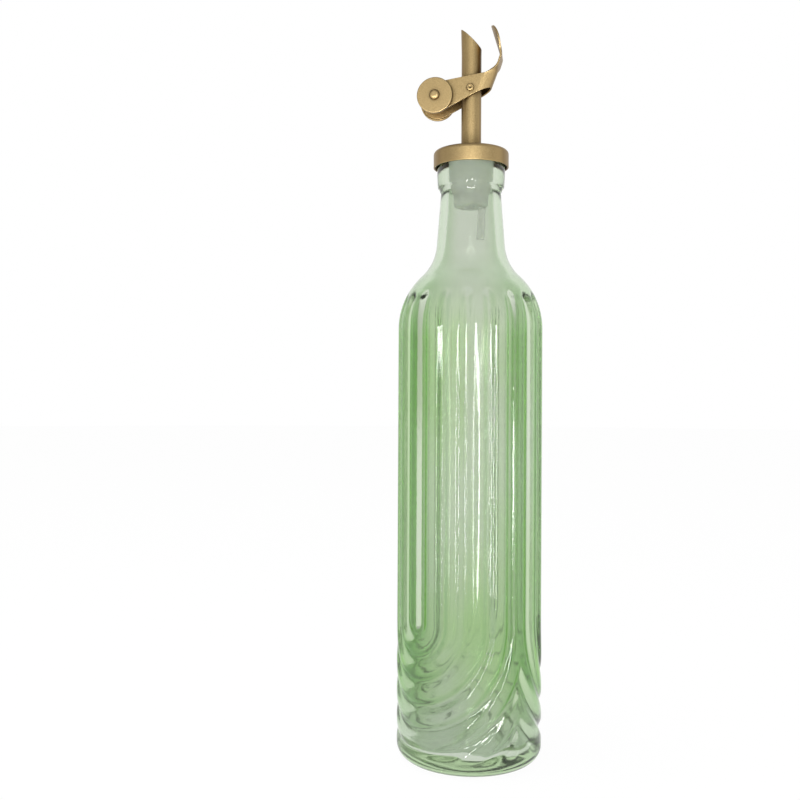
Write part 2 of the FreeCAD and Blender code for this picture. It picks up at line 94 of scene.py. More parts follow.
def penArc(bm, last, x, z, turn, steps):
    # turn in degrees about (x, z), anticlockwise with +X to the right and +Z up
    made = bmesh.ops.spin(bm, geom=[last], cent=(x * mm, 0, z * mm), axis=(0, -1, 0),
                          angle=radians(turn), steps=steps)
    return made["geom_last"][0]


def roundedLine(bm, corners, segments=6):
    # corners are (x, z, radius), and the radius rounds that corner
    verts = [penStart(bm, x, z) for x, z, radius in corners]
    for first, second in zip(verts, verts[1:]):
        bm.edges.new((first, second))
    spots = [vert.co.copy() for vert in verts]
    for index in range(1, len(corners) - 1):
        radius = corners[index][2]
        if not radius:
            continue
        back = spots[index - 1] - spots[index]
        ahead = spots[index + 1] - spots[index]
        reach = radius * mm / tan(back.angle(ahead) / 2)
        bmesh.ops.bevel(bm, geom=[verts[index]], offset=reach, offset_type="OFFSET", affect="VERTICES",
                        segments=segments, profile=0.5, material=-1)


def spinRound(bm, steps):
    bmesh.ops.spin(bm, geom=bm.verts[:] + bm.edges[:], cent=(0, 0, 0), axis=(0, 0, 1),
                   angle=2 * pi, steps=steps, use_merge=True)
    bmesh.ops.remove_doubles(bm, verts=bm.verts, dist=1e-4 * mm)
    bmesh.ops.recalc_face_normals(bm, faces=bm.faces)


def laySideways(bm, side, x, z):
    # a turned piece that stood on Z now points out to the left (+Y) or right (-Y)
    lean = -90 if side == "left" else 90
    bmesh.ops.rotate(bm, verts=bm.verts, cent=(0, 0, 0), matrix=Matrix.Rotation(radians(lean), 3, "X"))
    bmesh.ops.translate(bm, verts=bm.verts, vec=(x * mm, 0, z * mm))


def finishPiece(bm, name, body, node, material, sharp=40):
    mesh = bpy.data.meshes.new(name)
    bm.to_mesh(mesh)
    bm.free()
    mesh.materials.append(material)
    mesh.shade_smooth()
    mesh.set_sharp_from_angle(angle=radians(sharp))
    piece = bpy.data.objects.new(name, mesh)
    stageScene.collection.objects.link(piece)
    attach(piece, body)
    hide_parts(node)
    print("made", name, len(mesh.polygons), "faces")
    return piece


def evenShading(piece):
    shading = piece.modifiers.new("EvenShading", "WEIGHTED_NORMAL")
    shading.keep_sharp = True


# materials

def newMaterial(name):
    material = bpy.data.materials.new(name)
    material.use_nodes = True
    return material, material.node_tree.nodes, material.node_tree.links


def makeGrainGroup():
    # fine speckle: two noises of different sizes, as one value round 0.5
    group = bpy.data.node_groups.new("FineGrain", "ShaderNodeTree")
    group.interface.new_socket("Vector", in_out="INPUT", socket_type="NodeSocketVector")
    group.interface.new_socket("Scale", in_out="INPUT", socket_type="NodeSocketFloat")
    group.interface.new_socket("Grain", in_out="OUTPUT", socket_type="NodeSocketFloat")
    nodes = group.nodes
    links = group.links
    start = nodes.new("NodeGroupInput")
    end = nodes.new("NodeGroupOutput")
    coarse = nodes.new("ShaderNodeTexNoise")
    fine = nodes.new("ShaderNodeTexNoise")
    larger = nodes.new("ShaderNodeMath")
    larger.operation = "MULTIPLY"
    larger.inputs[1].default_value = 2.7
    mean = nodes.new("ShaderNodeMix")
    for texture in (coarse, fine):
        texture.inputs["Detail"].default_value = 2.0
        links.new(start.outputs["Vector"], texture.inputs["Vector"])
    links.new(start.outputs["Scale"], coarse.inputs["Scale"])
    links.new(start.outputs["Scale"], larger.inputs[0])
    links.new(larger.outputs[0], fine.inputs["Scale"])
    links.new(coarse.outputs["Fac"], mean.inputs["A"])
    links.new(fine.outputs["Fac"], mean.inputs["B"])
    links.new(mean.outputs["Result"], end.inputs["Grain"])
    return group


grainGroup = makeGrainGroup()


def addGrain(nodes, links, vector, scale):
    grain = nodes.new("ShaderNodeGroup")
    grain.node_tree = grainGroup
    grain.inputs["Scale"].default_value = scale
    links.new(vector, grain.inputs["Vector"])
    return grain.outputs["Grain"]


def addRamp(nodes, links, value, stops):
    ramp = nodes.new("ShaderNodeValToRGB")
    elements = ramp.color_ramp.elements
    for extra in stops[2:]:
        elements.new(1.0)
    for element, (place, colour) in zip(elements, stops):
        element.position = place
        element.color = (*colour, 1)
    links.new(value, ramp.inputs["Fac"])
    return ramp.outputs["Color"]


def addRange(nodes, links, value, low, high, start=0.3, end=0.7):
    span = nodes.new("ShaderNodeMapRange")
    span.inputs["From Min"].default_value = start
    span.inputs["From Max"].default_value = end
    span.inputs["To Min"].default_value = low
    span.inputs["To Max"].default_value = high
    links.new(value, span.inputs["Value"])
    return span.outputs["Result"]


def addTimes(nodes, links, first, second):
    times = nodes.new("ShaderNodeMath")
    times.operation = "MULTIPLY"
    links.new(first, times.inputs[0])
    links.new(second, times.inputs[1])
    return times.outputs[0]


def addColourBlend(nodes, links, share, first, second):
    blend = nodes.new("ShaderNodeMix")
    blend.data_type = "RGBA"
    links.new(share, blend.inputs["Factor"])
    for socket, value in ((blend.inputs[6], first), (blend.inputs[7], second)):
        if isinstance(value, tuple):
            socket.default_value = (*value, 1)
        else:
            links.new(value, socket)
    return blend.outputs[2]


def addBump(nodes, links, height, strength, distance):
    bump = nodes.new("ShaderNodeBump")
    bump.inputs["Strength"].default_value = strength
    bump.inputs["Distance"].default_value = distance
    links.new(height, bump.inputs["Height"])
    return bump.outputs["Normal"]


glassLook = {
    "paleShadedLow": (0.65, 0.687, 0.64),   # painted shade: the glass is darkened towards its base
    "paleHigh": (0.79, 0.808, 0.772),
    "greenShadedLow": (0.52, 0.685, 0.40),
    "greenHigh": (0.66, 0.795, 0.555),
    "paintedShadeRise": (0.03, 0.20),
    "slantGreenAndShade": (0.11, 0.38, 0.03),      # where the glass is seen slantwise: partly the green coating's longer path, partly painted shade at the edges
    "slant": (0.12, 0.60),
    "slantShare": 1.0,
    "plainSlantShade": 0.15,              # painted shade at the edges, on the parts with no green
    "leftGreenAndReflection": 0.30,               # the green is stronger on the -X side: partly uneven coating, partly painted green reflection from beside the bottle
    "leftReach": (-0.033, 0.0),
    "absorb": (0.44, 0.76, 0.16),
    "density": 12.0,
    "clouds": (28, 28, 11),
    "greenFrom": (0.004, 0.040),     # the green comes in above the heel
    "greenTo": (0.188, 0.218),       # and goes out again over the shoulder
    "peel": 700.0,
    "peelBump": 0.18,
}


def makeGlassMaterial(look):
    material, nodes, links = newMaterial("PaleGreenGlass")
    shader = nodes["Principled BSDF"]
    place = nodes.new("ShaderNodeTexCoord").outputs["Object"]
    stretch = nodes.new("ShaderNodeMapping")
    stretch.inputs["Scale"].default_value = look["clouds"]
    links.new(place, stretch.inputs["Vector"])
    clouds = nodes.new("ShaderNodeTexNoise")
    clouds.inputs["Scale"].default_value = 1.0
    clouds.inputs["Detail"].default_value = 4.0
    links.new(stretch.outputs["Vector"], clouds.inputs["Vector"])
    height = nodes.new("ShaderNodeSeparateXYZ")
    links.new(place, height.inputs["Vector"])
    low, high = look["greenFrom"]
    fadeIn = addRange(nodes, links, height.outputs["Z"], 0, 1, low, high)
    low, high = look["greenTo"]
    fadeOut = addRange(nodes, links, height.outputs["Z"], 1, 0.25, low, high)
    covered = addTimes(nodes, links, fadeIn, fadeOut)
    patchy = addRange(nodes, links, clouds.outputs["Fac"], 0.15, 0.85, 0.36, 0.64)
    patchyAndLeftReflection = nodes.new("ShaderNodeMath")
    links.new(patchy, patchyAndLeftReflection.inputs[0])
    # the -X side is greener: partly uneven coating, partly painted green reflection from beside the
    # bottle
    greenerLeftSide = addRange(nodes, links, height.outputs["X"], look["leftGreenAndReflection"], 0, *look["leftReach"])
    links.new(greenerLeftSide, patchyAndLeftReflection.inputs[1])
    green = addTimes(nodes, links, covered, patchyAndLeftReflection.outputs[0])
    # painted shade: the tint is darker towards the base
    low, high = look["paintedShadeRise"]
    rise = addRange(nodes, links, height.outputs["Z"], 0, 1, low, high)
    pale = addColourBlend(nodes, links, rise, look["paleShadedLow"], look["paleHigh"])
    strong = addColourBlend(nodes, links, rise, look["greenShadedLow"], look["greenHigh"])
    tint = addColourBlend(nodes, links, green, pale, strong)
    # darker green where the glass is seen slantwise: partly the coating's longer path, partly painted
    # shade at the edges
    low, high = look["slant"]
    facing = nodes.new("ShaderNodeLayerWeight").outputs["Facing"]
    slant = addTimes(nodes, links, addRange(nodes, links, facing, 0, look["slantShare"], low, high),
                     addRange(nodes, links, covered, look["plainSlantShade"], 1, 0, 1))
    tint = addColourBlend(nodes, links, slant, tint, look["slantGreenAndShade"])
    peel = addGrain(nodes, links, place, look["peel"])
    links.new(tint, shader.inputs["Base Color"])
    links.new(addRange(nodes, links, clouds.outputs["Fac"], 0.0, 0.02), shader.inputs["Roughness"])
    links.new(addBump(nodes, links, peel, look["peelBump"], 0.2 * mm), shader.inputs["Normal"])
    shader.inputs["IOR"].default_value = 1.5
    shader.inputs["Transmission Weight"].default_value = 1.0
    absorb = nodes.new("ShaderNodeVolumeAbsorption")
    absorb.inputs["Color"].default_value = (*look["absorb"], 1)
    absorb.inputs["Density"].default_value = look["density"]
    links.new(absorb.outputs["Volume"], nodes["Material Output"].inputs["Volume"])
    return material


goldLook = {
    "dark": (0.66, 0.45, 0.19),
    "light": (1.0, 0.76, 0.38),
    "grain": 2200.0,
    "roughness": (0.34, 0.48),
    "grainBump": 0.12,
    # the colour of the painted shade
    "paintedShadeBrown": (0.10, 0.055, 0.015),
    "sideShade": 0.25,       # painted shade: how much of the gold colour is left at grazing angles, the rest turns brown
    # painted shade: the gold also turns brown in recesses, found by occlusion
    "recessReach": 12.0 * mm,
    "recessShade": 0.08,
}


def makeGoldMaterial(look):
    material, nodes, links = newMaterial("SatinGold")
    shader = nodes["Principled BSDF"]
    place = nodes.new("ShaderNodeTexCoord").outputs["Object"]
    grain = addGrain(nodes, links, place, look["grain"])
    satin = addRamp(nodes, links, grain, ((0.25, look["dark"]), (0.7, look["light"])))
    facing = nodes.new("ShaderNodeLayerWeight").outputs["Facing"]
    recess = nodes.new("ShaderNodeAmbientOcclusion")
    recess.samples = 8
    recess.inputs["Distance"].default_value = look["recessReach"]
    # painted shade: brown at grazing angles and in recesses
    shade = addTimes(nodes, links, addRange(nodes, links, facing, 1.0, look["sideShade"], 0.05, 0.5),
                     addRange(nodes, links, recess.outputs["AO"], look["recessShade"], 1.0, 0.45, 0.95))
    links.new(addColourBlend(nodes, links, shade, look["paintedShadeBrown"], satin), shader.inputs["Base Color"])
    low, high = look["roughness"]
    links.new(addRange(nodes, links, grain, low, high), shader.inputs["Roughness"])
    links.new(addBump(nodes, links, grain, look["grainBump"], 0.1 * mm), shader.inputs["Normal"])
    shader.inputs["Metallic"].default_value = 1.0
    return material


plugLook = {
    "dark": (0.76, 0.765, 0.75),
    "light": (0.86, 0.865, 0.85),
    "grain": 900.0,
    "roughness": (0.42, 0.58),
    "milk": 2.5 * mm,
    "glow": 0.12,            # painted light: a faint glow in the milky plastic, standing in for light carried through it
}


def makePlasticMaterial(name, look, cover):
    material, nodes, links = newMaterial(name)
    shader = nodes["Principled BSDF"]
    place = nodes.new("ShaderNodeTexCoord").outputs["Object"]
    grain = addGrain(nodes, links, place, look["grain"])
    links.new(addRamp(nodes, links, grain, ((0.3, look["dark"]), (0.7, look["light"]))),
              shader.inputs["Base Color"])
    low, high = look["roughness"]
    links.new(addRange(nodes, links, grain, low, high), shader.inputs["Roughness"])
    links.new(addBump(nodes, links, grain, 0.06, 0.1 * mm), shader.inputs["Normal"])
    shader.inputs["IOR"].default_value = 1.5
    shader.inputs["Alpha"].default_value = cover
    shader.inputs["Subsurface Weight"].default_value = 1.0
    shader.inputs["Subsurface Radius"].default_value = (1.0, 1.0, 0.9)
    shader.inputs["Subsurface Scale"].default_value = look["milk"]
    # painted light: the plastic glows faintly in its light tone
    shader.inputs["Emission Color"].default_value = (*look["light"], 1)
    shader.inputs["Emission Strength"].default_value = look["glow"]
    return material


greenGlass = makeGlassMaterial(glassLook)
satinGold = makeGoldMaterial(goldLook)
frostedPlug = makePlasticMaterial("FrostedPlug", plugLook, 1.0)
milkyTube = makePlasticMaterial("MilkyTube", plugLook, 0.22)
print("materials ready")


# glass bottle

glass = {
    "bodyRadius": 32.6,
    "wall": 3.8,
    "heelRadius": 6.4,
    "ringWidth": 3.0,
    "pushUp": 2.6,
    "floor": 6.4,
    "innerHeel": 6.5,
    "fluteCount": 20,
    "fluteDepth": 1.45,
    "ribFullness": 2.1,
    "fluteTop": 204.4,
    "archRise": 6.0,
    "swagHeight": 64.0,
    "swagTurn": 47.5,
    "heelFade": 4.0,
    "shoulderHeight": 192.5,
    "shoulderRadius": 33.0,
    "shoulderTurn": 47.0,
    "blendRadius": 21.2,
    "neckTaper": 4.5,
    "collarRadius": 15.35,
    "collarBottom": 256.5,
    "collarUnderside": 2.4,
    "collarBulge": 40.0,
    "lip": 268.6,
    "lipRound": 1.4,
    "mouth": 10.2,
    "mouthRound": 0.9,
    "knurls": 120,
    "knurlDepth": 0.2,
    "ripple": 0.12,
    "rippleSize": 14.0,
    "segments": 360,
}


def grooveDepth(turn, height, sizes):
    # turn in radians from the middle of a swag; ridges lie between the grooves
    pitch = 2 * pi * sizes["bodyRadius"] / sizes["fluteCount"]
    across = sizes["bodyRadius"] * turn
    below = max(0.0, sizes["swagHeight"] - height)
    line = hypot(across, below) / pitch
    offGroove = abs(line % 1.0 - 0.5) * pitch
    pastTop = max(0.0, height - sizes["fluteTop"]) * pitch / 2 / sizes["archRise"]
    fromGroove = min(hypot(offGroove, pastTop), pitch / 2)
    fade = min(1.0, max(0.0, (height - sizes["heelRadius"]) / sizes["heelFade"]))
    wave = ((1 + cos(2 * pi * fromGroove / pitch)) / 2) ** sizes["ribFullness"]
    return sizes["fluteDepth"] * wave * fade * fade * (3 - 2 * fade)


def crestRadius(height, sizes):
    bulge = sizes["shoulderRadius"]
    above = max(0.0, height - sizes["shoulderHeight"])
    return sizes["bodyRadius"] - bulge + sqrt(bulge ** 2 - above ** 2)


def drawGlassOutside(bm, sizes):
    radius = sizes["bodyRadius"]
    heel = sizes["heelRadius"]
    ringOuter = radius - heel
    ringInner = ringOuter - sizes["ringWidth"]
    rise = sizes["pushUp"]
    dome = (ringInner ** 2 + rise ** 2) / (2 * rise)
    domeTurn = degrees(asin(ringInner / dome))
    pen = penStart(bm, 0, rise)
    pen = penArc(bm, pen, 0, rise - dome, -domeTurn, 8)
    pen = penLine(bm, pen, ringOuter, 0, 2)
    pen = penArc(bm, pen, ringOuter, heel, 90, 14)
    straight = sizes["swagHeight"] + 16
    pen = penLine(bm, pen, radius, sizes["swagHeight"], 59)
    pen = penLine(bm, pen, radius, straight, 9)
    pen = penLine(bm, pen, radius, sizes["shoulderHeight"], 15)
    shoulderX = radius - sizes["shoulderRadius"]
    shoulderZ = sizes["shoulderHeight"]
    archTop = sizes["fluteTop"] + sizes["archRise"]
    archTurn = degrees(asin((archTop - shoulderZ) / sizes["shoulderRadius"]))
    pen = penArc(bm, pen, shoulderX, shoulderZ, archTurn, 24)
    pen = penArc(bm, pen, shoulderX, shoulderZ, sizes["shoulderTurn"] - archTurn, 6)
    reach = sizes["shoulderRadius"] + sizes["blendRadius"]
    lean = radians(sizes["shoulderTurn"])
    blendX = shoulderX + reach * cos(lean)
    blendZ = shoulderZ + reach * sin(lean)
    pen = penArc(bm, pen, blendX, blendZ, sizes["neckTaper"] - sizes["shoulderTurn"], 12)
    return pen, blendX, blendZ


def drawCollar(bm, pen, sizes):
    # the collar under the mouth is rounded in below its middle, with soft edges above and below
    taper = tan(radians(sizes["neckTaper"]))
    top = sizes["collarBottom"] - sizes["collarUnderside"]
    foot = pen.co / mm
    neckTop = foot.x - taper * (top - foot.z)
    pen = penLine(bm, pen, neckTop, top, 5)
    bulge = sizes["collarBulge"]
    middle = (sizes["collarBottom"] + sizes["lip"]) / 2
    swing = degrees(asin((middle - sizes["collarBottom"] - 0.4) / bulge))
    edgeX = sizes["collarRadius"] - bulge + bulge * cos(radians(swing))
    pen = penLine(bm, pen, edgeX - 0.5, sizes["collarBottom"] - 0.25, 2)
    pen = penLine(bm, pen, edgeX - 0.15, sizes["collarBottom"] + 0.05)
    pen = penLine(bm, pen, edgeX, sizes["collarBottom"] + 0.4)
    pen = penArc(bm, pen, sizes["collarRadius"] - bulge, middle, swing, 8)
    lipRound = sizes["lipRound"]
    pen = penLine(bm, pen, sizes["collarRadius"], sizes["lip"] - lipRound, 3)
    pen = penArc(bm, pen, sizes["collarRadius"] - lipRound, sizes["lip"] - lipRound, 90, 6)
    mouthRound = sizes["mouthRound"]
    pen = penLine(bm, pen, sizes["mouth"] + mouthRound, sizes["lip"], 3)
    return penArc(bm, pen, sizes["mouth"] + mouthRound, sizes["lip"] - mouthRound, 90, 6)


def drawGlassInside(bm, pen, blendX, blendZ, sizes):
    wall = sizes["wall"]
    taper = radians(sizes["neckTaper"])
    innerBlend = sizes["blendRadius"] + wall
    footX = blendX - innerBlend * cos(taper)
    footZ = blendZ - innerBlend * sin(taper)
    mouthFoot = footZ + (footX - sizes["mouth"]) / tan(taper)
    pen = penLine(bm, pen, sizes["mouth"], mouthFoot, 4)
    pen = penLine(bm, pen, footX, footZ, 6)
    pen = penArc(bm, pen, blendX, blendZ, sizes["shoulderTurn"] - sizes["neckTaper"], 10)
    shoulderX = sizes["bodyRadius"] - sizes["shoulderRadius"]
    pen = penArc(bm, pen, shoulderX, sizes["shoulderHeight"], -sizes["shoulderTurn"], 10)
    inner = sizes["bodyRadius"] - wall
    heel = sizes["innerHeel"]
    pen = penLine(bm, pen, inner, sizes["floor"] + heel, 30)
    pen = penArc(bm, pen, inner - heel, sizes["floor"] + heel, -90, 10)
    return penLine(bm, pen, 0, sizes["floor"], 8)


def pressFlutes(bm, sizes):
    low = sizes["heelRadius"]
    high = sizes["fluteTop"] + sizes["archRise"]
    for vert in bm.verts:
        x, y, z = vert.co / mm
        radius = hypot(x, y)
        if not low < z < high or radius < crestRadius(z, sizes) - sizes["wall"] / 2:
            continue
        turn = (atan2(y, x) - radians(sizes["swagTurn"])) % pi
        turn = min(turn, pi - turn)
        pressed = (radius - grooveDepth(turn, z, sizes)) / radius
        vert.co.x *= pressed
        vert.co.y *= pressed


def notchBase(bm, sizes):
    # fine notches pressed across the ring that the bottle stands on
    ringOuter = sizes["bodyRadius"] - sizes["heelRadius"]
    for vert in bm.verts:
        x, y, z = vert.co / mm
        radius = hypot(x, y)
        if z > 0.5 or radius < ringOuter - sizes["ringWidth"] + 0.5:
            continue
        notch = (1 - cos(sizes["knurls"] * atan2(y, x))) / 2
        vert.co.z += sizes["knurlDepth"] * notch * mm


def rippleInside(bm, sizes):
    # the inside was never touched by a mould, so it wanders a little
    for vert in bm.verts:
        x, y, z = vert.co / mm
        radius = hypot(x, y)
        if radius < 1 or z < sizes["floor"] + 1 or z > sizes["shoulderHeight"] + 25:
            continue
        if radius > crestRadius(min(z, sizes["shoulderHeight"] + 20), sizes) - sizes["wall"] * 0.75:
            continue
        wander = noise.noise(Vector((x, y, z * 0.35)) / sizes["rippleSize"]) * sizes["ripple"]
        vert.co.x *= 1 + wander / radius
        vert.co.y *= 1 + wander / radius


def makeGlass(sizes):
    bm = bmesh.new()
    pen, blendX, blendZ = drawGlassOutside(bm, sizes)
    pen = drawCollar(bm, pen, sizes)
    drawGlassInside(bm, pen, blendX, blendZ, sizes)
    spinRound(bm, sizes["segments"])
    pressFlutes(bm, sizes)
    notchBase(bm, sizes)
    rippleInside(bm, sizes)
    finishPiece(bm, "GlassBottle", "bottle", "glass_bottle", greenGlass, sharp=60)


makeGlass(glass)


# plug and vent tube keep their built shape, with smooth shading

def smoothCopy(node, name, body, material):
    bm = bmesh.new()
    bm.from_mesh(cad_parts[node].data)
    bmesh.ops.remove_doubles(bm, verts=bm.verts, dist=1e-3 * mm)
    finishPiece(bm, name, body, node, material, sharp=25)


smoothCopy("stopper", "FrostedStopper", "plug", frostedPlug)
smoothCopy("vent_tube", "VentTube", "plug", milkyTube)


# pourer cap and spout

cap = {
    "radius": 17.0,
    "bottom": 265.8,
    "top": 273.4,
    "sheet": 0.8,
    "round": 1.8,
    "edgeRound": 0.25,
    "hole": 4.52,
    "segments": 128,
}


def makeCap(sizes):
    sheet = sizes["sheet"]
    inner = sizes["radius"] - sheet
    soft = sizes["edgeRound"]
    bm = bmesh.new()
    roundedLine(bm, [
        (sizes["hole"], sizes["top"], 0),
        (sizes["radius"], sizes["top"], sizes["round"]),
        (sizes["radius"], sizes["bottom"], soft),
        (inner, sizes["bottom"], soft),
        (inner, sizes["top"] - sheet, sizes["round"] - sheet),
        (sizes["hole"], sizes["top"] - sheet, 0),
        (sizes["hole"], sizes["top"], 0),
    ])
    spinRound(bm, sizes["segments"])
    evenShading(finishPiece(bm, "PourerCap", "head", "pourer_cap", satinGold))


makeCap(cap)

spout = {
    "radius": 4.5,
    "wall": 0.75,
    "bottom": 255.6,
    "flareFrom": 317.5,
    "flare": 0.35,
    "top": 331.5,
    "tipOnAxis": 324.1,     # where the 45 degree cut crosses the axis
    "softRim": 0.12,
    "segments": 96,
}


def makeSpout(sizes):
    outer = sizes["radius"]
    flared = outer + sizes["flare"]
    wall = sizes["wall"]
    bm = bmesh.new()
    roundedLine(bm, [
        (outer - wall, sizes["bottom"], 0),
        (outer, sizes["bottom"], 0.2),
        (outer, sizes["flareFrom"], 40),
        (flared, sizes["top"], 0),
        (flared - wall, sizes["top"], 0),
        (outer - wall, sizes["flareFrom"], 40),
        (outer - wall, sizes["bottom"], 0),
    ])
    spinRound(bm, sizes["segments"])
    everything = bm.verts[:] + bm.edges[:] + bm.faces[:]
    cut = bmesh.ops.bisect_plane(bm, geom=everything, dist=1e-4 * mm, clear_outer=True,
                                 plane_co=(0, 0, sizes["tipOnAxis"] * mm), plane_no=(1, 0, 1))
    rims = [edge for edge in cut["geom_cut"] if isinstance(edge, bmesh.types.BMEdge)]
    bmesh.ops.bridge_loops(bm, edges=rims)
    bmesh.ops.recalc_face_normals(bm, faces=bm.faces)
    piece = finishPiece(bm, "SpoutTube", "head", "spout_tube", satinGold)
    soften = piece.modifiers.new("SoftRim", "BEVEL")
    soften.width = sizes["softRim"] * mm
    soften.segments = 2
    soften.angle_limit = radians(35)
    evenShading(piece)


makeSpout(spout)


# lid lever: one stamped strip bent round the spout, rising to a tongue and a round lid

pivotHeight = 301.0

lever = {
    "sheet": 0.8,
    "halfGap": 5.2,          # to the middle of the sheet
    "bendCentre": 3.24,      # at the pivot's height
    "lean": 0.384,
    "endCentre": (-16.0, -3.1),
    "endTop": 6.0,
    "endBottom": 7.5,
    "footPoint": (9.3, 1.1),
    "footSlope": 0.498,
    "topPoint": (7.6, 6.7),
    "topSlope": 0.155,
    "shoulderTurn": 80.0,    # how far round the bend the tongue starts
    "tongueTurn": 58.0,
    "filletRise": 3.5,
    "bend": (13.6, 14.7),
    "bendRadius": 2.4,
    "leafLean": 17.0,
    "leafLength": 14.75,     # from the bend to the tip
    "leafRadius": 6.65,
    "tipTurn": 55.0,         # where the side rim ends and the tip row begins
    "stemHalf": 4.65,
    "stemSoft": 0.35,        # eases the stem into the disc
    "curl": 1.2,             # the lid's sides turn away from the spout
    "curlRise": 0.3,
    "curlFrom": 4.0,         # past the bend, where the curl is full
    "tongueFoot": 2.6,       # how far in front of the bridge its top is measured
    "softEdges": 0.1,
    "armColumns": 22,
    "bendColumns": 36,
    "rows": 8,
    "tongueSteps": 16,
    "foldSteps": 6,
    "stemSteps": 8,
    "tipSteps": 12,
}


def ease(value):
    value = min(1.0, max(0.0, value))
    return value * value * (3 - 2 * value)


def armLow(x, sizes):
    endX, endZ = sizes["endCentre"]
    slope = sizes["footSlope"]
    tangentX = endX + sizes["endBottom"] * slope / hypot(1, slope)
    if x > tangentX:
        return sizes["footPoint"][1] + slope * (x - sizes["footPoint"][0])
    return endZ - sqrt(max(0.0, sizes["endBottom"] ** 2 - (x - endX) ** 2))


def armHigh(x, sizes):
    endX, endZ = sizes["endCentre"]
    slope = sizes["topSlope"]
    tangentX = endX - sizes["endTop"] * slope / hypot(1, slope)
    if x > tangentX:
        return sizes["topPoint"][1] + slope * (x - sizes["topPoint"][0])
    return endZ + sqrt(max(0.0, sizes["endTop"] ** 2 - (x - endX) ** 2))


def stripPoint(column, row, sizes):
    # column runs from the left arm's end round the bend to the right arm's end, row from low to high
    arms = sizes["armColumns"]
    bends = sizes["bendColumns"]
    half = sizes["halfGap"]
    endX = sizes["endCentre"][0] - sizes["endTop"]
    inFront = min(max(column - arms, 0), bends) / bends
    aroundBend = pi / 2 - pi * inFront
    along = min(column, 2 * arms + bends - column, arms) / arms
    z = 0.0
    for guess in range(8):
        centre = sizes["bendCentre"] + sizes["lean"] * z
        x = endX + (centre - endX) * along + half * cos(aroundBend) * (1 if 0 < inFront < 1 else 0)
        z = armLow(x, sizes) + (armHigh(x, sizes) - armLow(x, sizes)) * row
    y = half * sin(aroundBend)
    return Vector((x, y, z))


def makeLever(sizes):
    arms = sizes["armColumns"]
    bends = sizes["bendColumns"]
    rows = sizes["rows"]
    columns = 2 * arms + bends
    bm = bmesh.new()
    bmesh.ops.create_grid(bm, x_segments=columns, y_segments=rows, size=1)
    topRow = {}
    for vert in bm.verts:
        column = round((vert.co.x + 1) / 2 * columns)
        row = round((vert.co.y + 1) / 2 * rows)
        if row == rows:
            topRow[column] = vert
        vert.co = stripPoint(column, row / rows, sizes)
    growTongue(bm, topRow, sizes)
    bmesh.ops.translate(bm, verts=bm.verts, vec=(0, 0, pivotHeight))
    bmesh.ops.scale(bm, verts=bm.verts, vec=(mm, mm, mm))
    bmesh.ops.recalc_face_normals(bm, faces=bm.faces)
    piece = finishPiece(bm, "LidLever", "lid", "lid_lever", satinGold)
    thick = piece.modifiers.new("SheetThickness", "SOLIDIFY")
    thick.thickness = sizes["sheet"] * mm
    thick.offset = 0
    thick.use_even_offset = True
    soften = piece.modifiers.new("SoftEdges", "BEVEL")
    soften.width = sizes["softEdges"] * mm
    soften.segments = 2
    soften.use_clamp_overlap = False
    soften.angle_limit = radians(50)
    evenShading(piece)


def tongueRows(sizes):
    # places along the tongue's front line, each with its distance past the bend
    leafLean = radians(sizes["leafLean"])
    highLean = Vector((-sin(leafLean), cos(leafLean)))
    startX = sizes["bendCentre"] + sizes["halfGap"]
    startZ = armHigh(startX + sizes["tongueFoot"], sizes)
    start = Vector((startX + sizes["lean"] * startZ, startZ))
    corner = Vector(sizes["bend"])
    lowLean = (corner - start).normalized()
    half = (leafLean + atan2(lowLean.x, lowLean.y)) / 2
    tangent = sizes["bendRadius"] * tan(half)
    below = (corner - start).length - tangent
    steps = sizes["tongueSteps"]
    places = [(start + lowLean * below * step / steps, 0.0) for step in range(1, steps + 1)]
    for step in range(1, sizes["foldSteps"]):
        share = step / sizes["foldSteps"]
        spot = corner - lowLean * tangent * (1 - share) ** 2 + highLean * tangent * share ** 2
        places.append((spot, tangent * share))
    centre = sizes["leafLength"] - sizes["leafRadius"]
    stem = centre - tangent
    for step in range(sizes["stemSteps"] + 1):
        past = tangent + stem * step / sizes["stemSteps"]
        places.append((corner + highLean * past, past))
    for step in range(1, sizes["tipSteps"] + 1):
        turn = sizes["tipTurn"] * step / sizes["tipSteps"]
        past = centre + sizes["leafRadius"] * sin(radians(turn))
        places.append((corner + highLean * past, past))
    return places


def leafHalf(past, sizes):
    centre = sizes["leafLength"] - sizes["leafRadius"]
    disc = sqrt(max(0.0, sizes["leafRadius"] ** 2 - (past - centre) ** 2))
    if past > centre:
        return disc
    soft = sizes["stemSoft"]
    stem = sizes["stemHalf"]
    return (stem + disc + sqrt((stem - disc) ** 2 + soft ** 2)) / 2


def roundTip(past, y, wide, sizes):
    # rows past the disc's middle bow more and more, and the last one follows the rim
    centre = sizes["leafLength"] - sizes["leafRadius"]
    if past <= centre:
        return 0.0
    radius = sizes["leafRadius"]
    lastHalf = radius * cos(radians(sizes["tipTurn"]))
    near = y / wide * lastHalf
    rim = sqrt(radius ** 2 - near ** 2) - sqrt(radius ** 2 - lastHalf ** 2)
    share = (past - centre) / (radius * sin(radians(sizes["tipTurn"])))
    return rim * share ** 2


